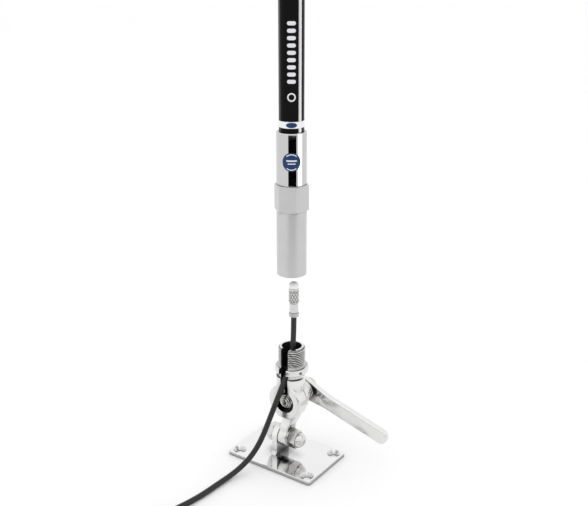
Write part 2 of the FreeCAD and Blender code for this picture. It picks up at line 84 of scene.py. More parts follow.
class Wiring:
    """A material's nodes and links, with short ways to add to them."""

    def __init__(self, tree: bpy.types.NodeTree) -> None:
        """Take the tree to wire."""
        self.nodes = tree.nodes
        self.links = tree.links

    def add(self, kind: str, operation: str = "", **inputs: object) -> bpy.types.Node:
        """Add a node.

        Args:
            kind: The node's type.
            operation: What a Math node does.
            inputs: A value, or the socket to link, for each named input.

        Returns:
            The node.
        """
        node = self.nodes.new(kind)
        if operation:
            node.operation = operation
        for name, value in inputs.items():
            self.feed(node.inputs[name], value)
        return node

    def feed(self, socket: Socket, value: object) -> None:
        """Link a socket to an input, or set its value."""
        if isinstance(value, Socket):
            self.links.new(value, socket)
        else:
            socket.default_value = value

    def noise(self, place: Socket, scale: float, detail: float) -> Socket:
        """Add noise with this many cells a metre and octaves of detail."""
        return self.add("ShaderNodeTexNoise", Vector=place, Scale=scale, Detail=detail).outputs["Fac"]

    def mix(self, share: object, first: object, second: object) -> Socket:
        """Mix two colours, each a value or a socket.

        Args:
            share: How much of the second.
            first: The first colour.
            second: The second colour.

        Returns:
            The mixed colour.
        """
        node = self.nodes.new("ShaderNodeMix")
        node.data_type = "RGBA"
        for name, value in (("Factor", share), ("A", first), ("B", second)):
            self.feed(node.inputs[name], value)
        return node.outputs["Result"]

    def span(self, value: Socket, source: tuple[float, float], target: tuple[float, float]) -> Socket:
        """Map a value from one range to another, each given as its lowest and highest."""
        ends = {"From Min": source[0], "From Max": source[1], "To Min": target[0], "To Max": target[1]}
        return self.add("ShaderNodeMapRange", Value=value, **ends).outputs["Result"]


@dataclass(frozen=True)
class Finish:
    """A procedural finish: colour drift, roughness drift, fine relief and, where asked, painted shade
    darkening its recesses.

    Sizes are in metres; drift and relief are the sizes of the patches and of the fine grain.
    """

    name: str
    colour: Triple
    second: Triple
    metallic: float = 0.0
    smooth: float = 0.2
    rough: float = 0.3
    drift: float = 0.02
    relief: float = 0.0006
    height: float = 0.00001
    strength: float = 0.3
    grain: Grain = Grain.EVEN
    coat: float = 0.0
    coat_rough: float = 0.05
    sheen: float = 0.0
    ior: float = 1.5
    specular: float = 0.5
    scratches: float = 0.0
    # How far the painted shade in recesses reaches, in metres; 0 paints none.
    painted_shade_reach: float = 0.0

    def make(self) -> bpy.types.Material:
        """Build the material once and reuse it afterwards.

        Returns:
            The material with its node tree.
        """
        title = self.name + "_finish"
        known = bpy.data.materials.get(title)
        if known is not None:
            return known
        material = bpy.data.materials.new(title)
        material.use_nodes = True
        tree = Wiring(material.node_tree)
        place = tree.add("ShaderNodeTexCoord").outputs["Object"]
        stretched = tree.add("ShaderNodeMapping", Vector=place, Scale=self.grain.value)
        patches = tree.noise(place, 1.0 / self.drift, 3.0)
        grain = tree.noise(stretched.outputs["Vector"], 1.0 / self.relief, 4.0)
        colour = tree.mix(patches, (*self.colour, 1.0), (*self.second, 1.0))
        # Painted shade: the colour darkens where other surfaces are near, as in recesses and corners.
        if self.painted_shade_reach > 0.0:
            colour = self._paint_recess_shade(tree, colour)
        bump = tree.add("ShaderNodeBump", Strength=self.strength, Distance=self.height, Height=grain)
        if self.scratches > 0.0:
            tree.feed(bump.inputs["Normal"], self._scratch(tree, place))
        gloss = tree.span(tree.mix(0.5, patches, grain), (0.3, 0.7), (self.smooth, self.rough))
        shader = tree.nodes["Principled BSDF"]
        for socket, value in (("Base Color", colour), ("Roughness", gloss), ("IOR", self.ior),
                              ("Normal", bump.outputs["Normal"]), ("Metallic", self.metallic),
                              ("Coat Weight", self.coat), ("Coat Roughness", self.coat_rough),
                              ("Sheen Weight", self.sheen), ("Specular IOR Level", self.specular)):
            tree.feed(shader.inputs[socket], value)
        return material

    def _paint_recess_shade(self, tree: Wiring, colour: Socket) -> Socket:
        """Paint shade into corners, recesses and spots near other surfaces, by darkening the colour with
        ambient occlusion.

        Args:
            tree: The material's nodes.
            colour: The open surface's colour.

        Returns:
            The colour with painted shade in its recesses.
        """
        reach = tree.add("ShaderNodeAmbientOcclusion", Distance=self.painted_shade_reach)
        reach.samples = 6
        shaded_colour = tree.mix(1.0, colour, tree.span(reach.outputs["AO"], (0.30, 0.92), (0.03, 1.0)))
        shaded_colour.node.blend_type = "MULTIPLY"
        return shaded_colour

    def _scratch(self, tree: Wiring, place: Socket) -> Socket:
        """Fine hairline scratches, which lie under the relief.

        Args:
            tree: The material's nodes.
            place: The coordinates to sample.

        Returns:
            The scratched normal.
        """
        turn = tree.add("ShaderNodeMapping", Vector=place, Rotation=(0.3, 0.5, 0.9),
                        Scale=(60.0, 2500.0, 900.0))
        lines = tree.noise(turn.outputs["Vector"], 1.0, 2.0)
        under = tree.add("ShaderNodeBump", Strength=self.scratches, Distance=self.height, Height=lines)
        return under.outputs["Normal"]


# Finishes whose last keyword sets a shade reach paint shade, darkening their recesses.
MIRROR_STEEL = Finish(
    "mirror_steel", (0.84, 0.84, 0.84), (0.79, 0.79, 0.79), 1.0, 0.06, 0.12, 0.03, 0.004, 0.00002, 0.25,
    Grain.POLISHED, scratches=0.05, painted_shade_reach=0.012)
CAST_STEEL = Finish(
    "cast_steel", (0.82, 0.815, 0.81), (0.72, 0.715, 0.71), 1.0, 0.12, 0.24, 0.012, 0.0022, 0.00006, 0.35,
    scratches=0.08, painted_shade_reach=0.010)
TURNED_STEEL = Finish(
    "turned_steel", (0.80, 0.795, 0.79), (0.68, 0.675, 0.67), 1.0, 0.16, 0.28, 0.01, 0.0016, 0.00002, 0.35,
    Grain.RINGS_Z, painted_shade_reach=0.006)
FASTENER_STEEL = Finish(
    "fastener_steel", (0.76, 0.75, 0.74), (0.60, 0.59, 0.58), 1.0, 0.14, 0.28, 0.006, 0.0012, 0.00003, 0.35,
    scratches=0.08, painted_shade_reach=0.007)
SPRING_STEEL = Finish(
    "spring_steel", (0.42, 0.42, 0.42), (0.30, 0.30, 0.30), 1.0, 0.25, 0.4, 0.006, 0.0008, 0.00002, 0.4,
    Grain.BRUSHED_X, painted_shade_reach=0.005)
SATIN_CHROME = Finish(
    "satin_chrome", (0.60, 0.60, 0.60), (0.54, 0.54, 0.54), 1.0, 0.28, 0.36, 0.015, 0.001, 0.00001, 0.3,
    Grain.RINGS_Z, painted_shade_reach=0.004)
BRIGHT_CHROME = Finish(
    "bright_chrome", (0.60, 0.60, 0.60), (0.55, 0.55, 0.55), 1.0, 0.02, 0.04, 0.03, 0.006, 0.00001, 0.2,
    Grain.POLISHED, painted_shade_reach=0.004)
NICKEL = Finish(
    "nickel_plate", (0.72, 0.715, 0.70), (0.58, 0.575, 0.56), 1.0, 0.12, 0.24, 0.004, 0.0009, 0.00002,
    painted_shade_reach=0.002)
# Painted shade: a dark finish for the knurl's sunk faces, standing in for the shade in its hollows.
KNURL_PAINTED_SHADE = Finish(
    "knurl_root_painted_shade", (0.16, 0.16, 0.15), (0.08, 0.08, 0.08), 0.8, 0.35, 0.5, 0.003, 0.0006, 0.00002, 0.4)
CRIMP_STEEL = Finish(
    "crimped_ring", (0.56, 0.56, 0.56), (0.42, 0.42, 0.42), 1.0, 0.25, 0.40, 0.003, 0.0007, 0.00003, 0.5,
    painted_shade_reach=0.002)
GOLD = Finish("gold_contact", (0.90, 0.68, 0.28), (0.80, 0.58, 0.22), 1.0, 0.15, 0.25, 0.003, 0.0005)
BRASS = Finish(
    "drawn_brass", (0.80, 0.60, 0.26), (0.66, 0.47, 0.20), 1.0, 0.2, 0.34, 0.01, 0.0010, 0.00002, 0.4,
    Grain.RINGS_Z)
POLE_BLACK = Finish(
    "pole_black", (0.0020, 0.0018, 0.0022), (0.0035, 0.0032, 0.0038), 0.0, 0.05, 0.08, 0.02, 0.0015, 0.00001,
    0.2, specular=0.08)
CAP_BLACK = Finish(
    "cap_black", (0.010, 0.010, 0.011), (0.016, 0.016, 0.017), 0.0, 0.28, 0.38, 0.01, 0.0007, 0.00002, 0.4,
    specular=0.25)
JACKET_BLACK = Finish(
    "cable_jacket", (0.012, 0.012, 0.013), (0.022, 0.022, 0.023), 0.0, 0.36, 0.50, 0.012, 0.0007, 0.00004,
    0.45, specular=0.35)
WRAP_WHITE = Finish(
    "wrap_white", (0.86, 0.86, 0.87), (0.80, 0.81, 0.82), 0.0, 0.22, 0.32, 0.008, 0.0008, coat=0.2,
    coat_rough=0.1)
PRINT_WHITE = Finish("print_white", (0.74, 0.75, 0.77), (0.66, 0.67, 0.70), 0.0, 0.35, 0.45, 0.004, 0.0006)
PRINT_BLUE = Finish(
    "print_blue", (0.008, 0.030, 0.105), (0.012, 0.042, 0.135), 0.0, 0.24, 0.34, 0.004, 0.0006, specular=0.3)
DIELECTRIC = Finish(
    "white_dielectric", (0.88, 0.88, 0.87), (0.80, 0.80, 0.79), 0.0, 0.32, 0.45, 0.004, 0.0006, ior=1.38)
PLUG_GREY = Finish(
    "plug_plastic", (0.28, 0.28, 0.29), (0.34, 0.34, 0.35), 0.0, 0.4, 0.55, 0.006, 0.0005, 0.00003, 0.5)
BOARD_GREEN = Finish(
    "board_green", (0.02, 0.16, 0.07), (0.03, 0.22, 0.09), 0.0, 0.25, 0.4, 0.004, 0.0006, 0.00002, 0.4,
    Grain.BRUSHED_X, coat=0.4, coat_rough=0.1)
FOAM_WHITE = Finish(
    "foam_white", (0.88, 0.88, 0.84), (0.78, 0.78, 0.74), 0.0, 0.75, 0.9, 0.003, 0.0009, 0.0002, 0.8)
STRAP_BLACK = Finish(
    "strap_loops", (0.020, 0.020, 0.022), (0.045, 0.045, 0.048), 0.0, 0.8, 0.95, 0.0015, 0.0004, 0.0003, 1.0,
    sheen=0.4)
# Painted shade: a dark finish for the faces down in the thread's groove.
THREAD_GROOVE_PAINTED_SHADE = Finish(
    "thread_groove_painted_shade", (0.13, 0.13, 0.13), (0.07, 0.07, 0.07), 0.7, 0.42, 0.58, 0.004, 0.0007, 0.00002, 0.4,
    Grain.RINGS_Z)
# Painted shade: a near-black finish for the stud's bore and the slot's flat walls.
BORE_AND_SLOT_PAINTED_SHADE = Finish(
    "stud_bore_painted_shade", (0.030, 0.029, 0.030), (0.012, 0.012, 0.012), 0.5, 0.4, 0.55, 0.006, 0.0007, 0.00003, 0.4,
    Grain.RINGS_Z, specular=0.2)
CARD_BLACK = Finish(
    "card_black", (0.002, 0.002, 0.002), (0.003, 0.003, 0.003), 0.0, 0.9, 1.0, 0.2, 0.01, 0.00001, 0.1,
    specular=0.0)
FLOOR_PALE = Finish(
    "pale_floor", (0.945, 0.945, 0.945), (0.935, 0.935, 0.935), 0.0, 0.55, 0.65, 0.4, 0.02, 0.00002, 0.1,
    specular=0.2)


def shade(mesh: bpy.types.Mesh, sharp: float) -> None:
    """Shade a mesh smooth, with creases above an angle in degrees left sharp."""
    mesh.shade_smooth()
    mesh.set_sharp_from_angle(angle=math.radians(sharp))


def add_object(name: str, shape: Shape, finish: Finish, sharp: float = 35.0) -> Piece:
    """Make a mesh object with smooth shading and sharp creases.

    Args:
        name: The piece's name.
        shape: Its points in metres and its faces.
        finish: Its finish.
        sharp: Creases above this angle, in degrees, stay sharp.

    Returns:
        The new object, linked to the scene.
    """
    points, faces = shape
    mesh = bpy.data.meshes.new(name)
    mesh.from_pydata([tuple(point) for point in points], [], faces)
    work = bmesh.new()
    work.from_mesh(mesh)
    bmesh.ops.remove_doubles(work, verts=work.verts, dist=1e-7)
    bmesh.ops.recalc_face_normals(work, faces=work.faces)
    work.to_mesh(mesh)
    work.free()
    shade(mesh, sharp)
    mesh.materials.append(finish.make())
    piece = bpy.data.objects.new(name, mesh)
    bpy.context.scene.collection.objects.link(piece)
    return piece


def grid_faces(columns: int, rows: int, close_columns: bool, close_rows: bool) -> Faces:
    """Quads of a grid whose point (column, row) has the index column * rows + row.

    Args:
        columns: Number of columns.
        rows: Number of rows in each column.
        close_columns: Whether the last column joins the first.
        close_rows: Whether the last row joins the first.

    Returns:
        The faces.
    """
    faces = []
    for column in range(columns if close_columns else columns - 1):
        following = (column + 1) % columns
        for row in range(rows if close_rows else rows - 1):
            above = (row + 1) % rows
            faces.append((column * rows + row, following * rows + row, following * rows + above,
                          column * rows + above))
    return faces


def stand(direction: Vector, base: Vector) -> Matrix:
    """The placement that stands a shape made along +Z on base, along direction."""
    return Matrix.Translation(base) @ UP.rotation_difference(direction).to_matrix().to_4x4()


def swing(bearing: float) -> Matrix:
    """The turn about +Z to a bearing in degrees: 0 is -Y and 90 is +X."""
    return Matrix.Rotation(math.radians(bearing), 4, "Z")


def tip_down(angle: float) -> Matrix:
    """The turn of a level camera or light to look down by an angle in degrees."""
    return Matrix.Rotation(math.radians(90.0 - angle), 4, "X")


def revolve(rows: Sequence[tuple[float, Reach]], steps: int, place: Matrix) -> Shape:
    """Turn a closed loop of rows about +Z, each row with its own radius round the turn.

    Args:
        rows: Height and radius function of each row, in millimetres.
        steps: Columns round the turn.
        place: Where the shape goes, in metres.

    Returns:
        Points and faces.
    """
    points = []
    for step in range(steps):
        angle = 2.0 * math.pi * step / steps
        for height, radius in rows:
            reach = radius(angle)
            points.append(place @ mm(reach * math.cos(angle), reach * math.sin(angle), height))
    return points, grid_faces(steps, len(rows), True, True)


def even(radius: float) -> Reach:
    """A radius that is the same all round."""
    return lambda angle: radius


def joined(*shapes: Shape) -> Shape:
    """Several shapes as one."""
    points: list[Vector] = []
    faces: Faces = []
    for more_points, more_faces in shapes:
        start = len(points)
        points.extend(more_points)
        faces.extend(tuple(index + start for index in face) for face in more_faces)
    return points, faces


def dress(finish: Finish, *names: str) -> None:
    """Give CAD nodes a finish.

    Args:
        finish: The finish.
        names: The nodes that take it.
    """
    for name in names:
        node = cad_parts[name]
        if node.material_slots:
            for slot in node.material_slots:
                slot.material = finish.make()
        else:
            node.data.materials.append(finish.make())
        LOG.info("dressed %s in %s", name, finish.name)


@dataclass
class StudioCamera:
    """The camera: position in metres, view direction and lens."""

    position: Triple = (0.4461, -0.6243, 0.4901)
    azimuth: float = 35.0
    pitch: float = 20.0
    lens: float = 55.41

    def build(self) -> None:
        """Make the camera and set it as the scene's."""
        data = bpy.data.cameras.new("studio_camera")
        data.lens = self.lens
        data.sensor_fit = "HORIZONTAL"
        data.sensor_width = 36.0
        data.clip_start = 0.01
        data.clip_end = 60.0
        camera = bpy.data.objects.new("studio_camera", data)
        camera.matrix_world = Matrix.Translation(self.position) @ swing(self.azimuth) @ tip_down(self.pitch)
        bpy.context.scene.collection.objects.link(camera)
        bpy.context.scene.camera = camera
        LOG.info("camera at %s", self.position)


def saw(value: float) -> float:
    """A triangle wave from 0 to 1, 1 at whole values."""
    return abs(2.0 * (value - math.floor(value)) - 1.0)


@dataclass
class LeadConnector:
    """One crimped connector of the lead; sizes in millimetres along its axis from the crimp face."""

    end: str
    body: str
    base: Triple
    heading: Triple
    rim_start: float = 13.7
    knurl_start: float = 15.4
    knurl_end: float = 25.2
    rim_end: float = 28.0
    radius: float = 4.8
    bore: float = 3.2
    knurl_depth: float = 0.6
    knurl_count: int = 10
    knurl_rise: float = 2.4
    knurl_rows: int = 52
    painted_shade_depth: float = 0.45

    def knurl(self, height: float) -> Reach:
        """The nut's outer radius round the turn at one height.

        Args:
            height: Height along the axis, in millimetres.

        Returns:
            A function from angle to radius.
        """
        def radius(angle: float) -> float:
            """Radius of the diamond knurl at an angle."""
            turn = angle / (2.0 * math.pi) * self.knurl_count
            climb = (height - self.knurl_start) / (2.0 * self.knurl_rise)
            crest = min(1.0, 1.5 * min(saw(turn + climb), saw(turn - climb)))
            return self.radius - self.knurl_depth * (1.0 - crest)

        return radius

    def nut_rows(self) -> list[tuple[float, Reach]]:
        """The nut's closed profile, from the bore's lower end round the outside."""
        inner = even(self.bore)
        rows = [(self.rim_start, inner), (self.rim_start, even(self.radius - 0.6)),
                (self.rim_start + 0.4, even(self.radius - 0.1)), (self.rim_start + 0.8, even(self.radius)),
                (self.knurl_start - 0.35, even(self.radius)),
                (self.knurl_start - 0.1, even(self.radius - self.knurl_depth))]
        for step in range(self.knurl_rows + 1):
            height = self.knurl_start + (self.knurl_end - self.knurl_start) * step / self.knurl_rows
            rows.append((height, self.knurl(height)))
        rows += [(self.knurl_end + 0.1, even(self.radius - self.knurl_depth)),
                 (self.knurl_end + 0.5, even(self.radius - self.knurl_depth)),
                 (self.knurl_end + 0.7, even(self.radius - 0.05)),
                 (self.rim_end - 0.5, even(self.radius - 0.05)), (self.rim_end, even(self.radius - 0.5)),
                 (self.rim_end, inner)]
        return rows

    def build(self) -> list[Piece]:
        """Make the knurled nut and dress the other pieces.

        Returns:
            Every piece on this end of the lead.
        """
        place = stand(Vector(self.heading).normalized(), mm(*self.base))
        nut = add_object(self.end + "_knurled_nut", revolve(self.nut_rows(), self.knurl_count * 14, place),
                         NICKEL, 50.0)
        # Painted shade: the knurl's faces sunk below the shade depth take the dark finish.
        nut.data.materials.append(KNURL_PAINTED_SHADE.make())
        back = place.inverted()
        for face in nut.data.polygons:
            spot = back @ face.center / MM
            reach = math.hypot(spot.x, spot.y)
            in_knurl_shade = self.bore + 0.5 < reach < self.radius - self.painted_shade_depth
            if in_knurl_shade and self.knurl_start < spot.z < self.knurl_end:
                face.material_index = 1
        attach(nut, self.body)
        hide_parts(self.end + "_nut")
        LOG.info("connector %s: nut with %d points", self.end, len(nut.data.vertices))
        pieces = [nut]
        for name, finish in (("_crimp_ring", CRIMP_STEEL), ("_sleeve", NICKEL), ("_insulator", DIELECTRIC),
                             ("_contact", GOLD)):
            dress(finish, self.end + name)
            pieces.append(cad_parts[self.end + name])
        return pieces


@dataclass
class CoilStraps:
    """Two hook-and-loop straps round the coil; sizes in millimetres."""

    mean_radius: float = 34.0
    half: float = 10.475
    top: float = 31.2
    gap: float = 0.3
    thick: float = 0.9
    width: float = 4.6
    corner: float = 2.5
    angles: tuple[float, float] = (62.0, 228.0)
    lap_start: float = 0.75
    lap_span: float = 1.1
    lap_gap: float = 0.12
    lap_thick: float = 0.6
    lap_curl: float = 0.35
    curl_start: float = 0.8
    lap_steps: int = 10

    def outline(self, offset: float) -> list[tuple[float, float]]:
        """The strap's path round the coil's section.

        Args:
            offset: Distance outside the coil's section.

        Returns:
            Points as (outwards, up), rounded at the corners.
        """
        half = self.half + offset
        low = 0.95 if offset <= self.gap + 1e-6 else 0.05
        high = self.top + offset
        corners = [(-half, low), (half, low), (half, high), (-half, high)]
        path = []
        for index, (x, z) in enumerate(corners):
            centre_x = x - math.copysign(self.corner, x)
            centre_z = z + self.corner if index < 2 else z - self.corner
            for step in range(7):
                angle = math.radians(180.0 + 90.0 * index + 15.0 * step)
                path.append((centre_x + self.corner * math.cos(angle),
                             centre_z + self.corner * math.sin(angle)))
        return path

    def build(self) -> list[Piece]:
        """Make both straps.

        Returns:
            The straps.
        """
        straps = []
        for number, angle in enumerate(self.angles):
            place = Matrix.Translation(mm(*COIL_CENTRE)) @ Matrix.Rotation(math.radians(angle), 4, "Z")
            place @= Matrix.Translation(mm(self.mean_radius, 0.0, 0.0))
            inner = self.outline(self.gap)
            points = []
            for (x0, z0), (x1, z1) in zip(inner, self.outline(self.gap + self.thick)):
                section = ((x0, z0, -1.0), (x1, z1, -0.82), (x1, z1, 0.82), (x0, z0, 1.0))
                points += [place @ mm(x, side * self.width / 2, z) for x, z, side in section]
            loop = (points, grid_faces(len(inner), 4, True, True))
            strap = add_object(f"coil_strap_{number + 1}", joined(loop, self.lap(place)), STRAP_BLACK)
            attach(strap, "deck_base")
            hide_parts("coil_ties")
            LOG.info("strap at %.0f degrees", angle)
            straps.append(strap)
        return straps

    def lap(self, place: Matrix) -> Shape:
        """The strap's loose end, lapped over its own top.

        Args:
            place: The strap's place on the coil.

        Returns:
            Points and faces.
        """
        points = []
        for step in range(self.lap_steps + 1):
            part = step / self.lap_steps
            x = self.half * (self.lap_start - self.lap_span * part)
            curl = self.lap_curl * max(0.0, part - self.curl_start) / (1.0 - self.curl_start)
            z = self.top + self.gap + self.thick + self.lap_gap + curl
            section = ((0.0, -0.92), (self.lap_thick, -0.8), (self.lap_thick, 0.8), (0.0, 0.92))
            points += [place @ mm(x, side * self.width / 2, z + lift) for lift, side in section]
        faces = grid_faces(self.lap_steps + 1, 4, False, True)
        last = self.lap_steps * 4
        faces += [(0, 1, 2, 3), (last + 3, last + 2, last + 1, last)]
        return points, faces


@dataclass
class CoaxialLead:
    """The coaxial lead: up through the stud, and down to the deck and its coil; millimetres."""

    diameter: float = 5.2
    join: Triple = (1.2, -22.6, 62.0)
    feed_route: tuple[Triple, ...] = (
        (1.2, -22.6, 62.0), (4.4, -19.4, 74.5), (6.2, -12.6, 87.0), (6.9, -4.6, 100.0),
        (7.7, -0.2, 116.0), (7.9, 0.9, 133.5), (8.0, 1.1, 150.5))
    deck_route: tuple[Triple, ...] = (
        (1.2, -22.6, 62.0), (-2.0, -25.8, 49.5), (-5.0, -29.6, 37.0), (-8.0, -35.0, 25.4),
        (-11.8, -42.6, 14.8), (-16.2, -52.8, 7.2), (-19.6, -65.6, 3.2), (-21.2, -81.0, 2.6),
        (-21.8, -98.0, 2.6), (-24.2, -116.0, 2.6), (-28.4, -134.0, 2.6), (-31.8, -153.0, 2.6),
        (-33.4, -174.0, 2.6), (-33.8, -195.0, 2.6))
    tail_route: tuple[Triple, ...] = (
        (8.0, -250.4, 28.6), (22.0, -251.1, 27.2), (36.0, -250.9, 21.0), (49.0, -249.2, 12.6),
        (61.0, -246.6, 6.8), (73.0, -243.2, 4.9), (84.0, -239.4, 4.9))
    coil_outer: float = 41.875
    coil_inner: float = 26.125
    turns_per_layer: float = 3.0
    climb: float = 0.25
    layers: int = 6
    layer_pitch: float = 5.2
    points_per_turn: int = 16
    sides: int = 14

    def coil_points(self) -> list[Vector]:
        """The coil's own control points, wound in and out, layer on layer.

        Returns:
            Points in metres, from where the lead comes in to just before the tail leaves.
        """
        hand = random.Random(11)
        outside = 1.0 / math.cos(math.pi / self.points_per_turn)
        per_layer = self.turns_per_layer + self.climb
        total = self.layers * per_layer - self.climb
        points = []
        for number in range(round(total * self.points_per_turn)):
            turns = number / self.points_per_turn
            layer = min(int(turns / per_layer), self.layers - 1)
            within = turns - layer * per_layer
            wound = min(within / self.turns_per_layer, 1.0)
            climbed = max(0.0, within - self.turns_per_layer) / self.climb
            inwards = wound if layer % 2 == 0 else 1.0 - wound
            radius = self.coil_outer + (self.coil_inner - self.coil_outer) * inwards
            radius = radius * outside + hand.uniform(-0.12, 0.12)
            height = self.diameter / 2 + self.layer_pitch * (layer + climbed) + hand.uniform(0.0, 0.08)
            angle = math.pi + 2.0 * math.pi * turns
            points.append(mm(COIL_CENTRE[0] + radius * math.cos(angle),
                             COIL_CENTRE[1] + radius * math.sin(angle), height))
        return points

    def follow(self, control: Sequence[Vector], smoothness: int) -> list[Vector]:
        """Read the smooth line of a NURBS spline through control points.

        Args:
            control: The control points, in metres.
            smoothness: Points per span.

        Returns:
            Points along the line, in metres.
        """
        data = bpy.data.curves.new("lead_line", "CURVE")
        data.dimensions = "3D"
        data.resolution_u = smoothness
        spline = data.splines.new("NURBS")
        spline.points.add(len(control) - 1)
        for place, point in zip(spline.points, control):
            place.co = (*point, 1.0)
        spline.order_u = 3
        spline.use_endpoint_u = True
        holder = bpy.data.objects.new("lead_line", data)
        bpy.context.scene.collection.objects.link(holder)
        bpy.context.view_layer.update()
        line = bpy.data.meshes.new_from_object(holder)
        points = [vertex.co.copy() for vertex in line.vertices]
        bpy.data.objects.remove(holder)
        bpy.data.curves.remove(data)
        bpy.data.meshes.remove(line)
        return points

    def tube(self, path: Sequence[Vector]) -> Shape:
        """A round tube along a path, with flat ends.

        Args:
            path: The points that it follows, in metres.

        Returns:
            Points and faces.
        """
        radius = self.diameter / 2 * MM
        points = []
        side = Vector((1.0, 0.0, 0.0))
        for index, here in enumerate(path):
            before = path[max(0, index - 1)]
            after = path[min(len(path) - 1, index + 1)]
            heading = (after - before).normalized()
            side = (side - heading * side.dot(heading)).normalized()
            other = heading.cross(side)
            for step in range(self.sides):
                angle = 2.0 * math.pi * step / self.sides
                points.append(here + (side * math.cos(angle) + other * math.sin(angle)) * radius)
        faces = grid_faces(len(path), self.sides, False, True)
        last = (len(path) - 1) * self.sides
        faces += [tuple(range(self.sides - 1, -1, -1)), tuple(range(last, last + self.sides))]
        return points, faces

    def build(self, top: Sequence[Piece], end: Sequence[Piece], straps: Sequence[Piece]) -> None:
        """Args:
            top: The pieces of the connector above the stud; not used.
            end: The pieces of the connector at the far end; not used.
            straps: The straps that hold the coil; not used.
        """
        feed_line = self.follow([mm(*point) for point in self.feed_route], 12)
        feed = add_object("lead_through_stud", self.tube(feed_line), JACKET_BLACK)
        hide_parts("feed_cable")
        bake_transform(feed)
        LOG.info("lead through the stud: %.4f m", self.length(feed_line))
        control = [mm(*point) for point in self.deck_route] + self.coil_points()
        control += [mm(*point) for point in self.tail_route]
        line = self.follow(control, 6)
        deck = add_object("lead_to_coil", self.tube(line), JACKET_BLACK)
        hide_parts("deck_cable", "cable_coil", "cable_tail")
        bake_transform(deck)
        LOG.info("lead to the coil and its end: %.4f m", self.length(line))

    def length(self, line: Sequence[Vector]) -> float:
        """The length of a line of points, in metres."""
        return sum((after - before).length for before, after in zip(line, line[1:]))


@dataclass
class DeckFoot:
    """The plate, its ear and the lower pivot's fasteners, all from the CAD."""

    def build(self) -> None:
        """Dress the foot's nodes."""
        dress(MIRROR_STEEL, "deck_plate", "plate_ear")
        dress(FASTENER_STEEL, "pivot_bolt", "pivot_washers", "pivot_dome_nut")
        dress(CAST_STEEL, "swivel_link")


